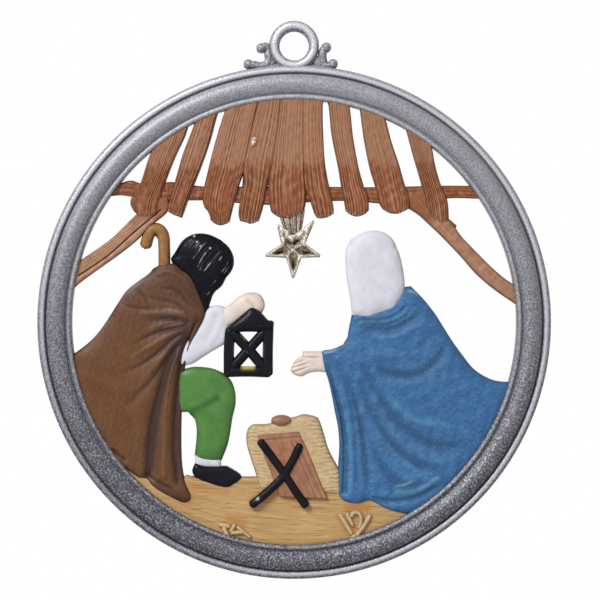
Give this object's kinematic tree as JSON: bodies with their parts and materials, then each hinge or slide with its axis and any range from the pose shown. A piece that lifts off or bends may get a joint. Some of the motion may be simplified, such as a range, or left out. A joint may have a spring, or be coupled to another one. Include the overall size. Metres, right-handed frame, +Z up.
{
  "type": "nativity ornament",
  "caption": "Round hanging ornament cast in one flat-backed piece: a moulded ring with an eye and scrolls frames an openwork nativity scene, painted by hand.",
  "frame": {"origin": "centre of the hanging eye's hole, halfway through the eye's thickness", "axes": "+Z up as it hangs, +Y out of the flat back, so the picture faces -Y and +X is on its right"},
  "size_m": [0.07, 0.0029, 0.0761],
  "materials": {
    "pewter": "cast pewter, antiqued dark in the hollows and rubbed bright on the edges",
    "antique_gold": "pale gold wash over pewter, dark in the hollows",
    "roof_brown": "red-brown enamel, rubbed back along the grain",
    "crook_brown": "light brown enamel",
    "cloak_brown": "dark brown enamel, pooled darker in the folds",
    "cloak_blue": "metallic blue enamel",
    "white": "lilac-white enamel",
    "black": "glossy black enamel",
    "green": "green enamel",
    "skin": "pale flesh enamel",
    "straw": "straw-yellow enamel with a brown wash",
    "panel_brown": "pinkish-brown enamel"
  },
  "bodies": {
    "root": {"cast_ornament": "pewter"}
  },
  "joints": []
}
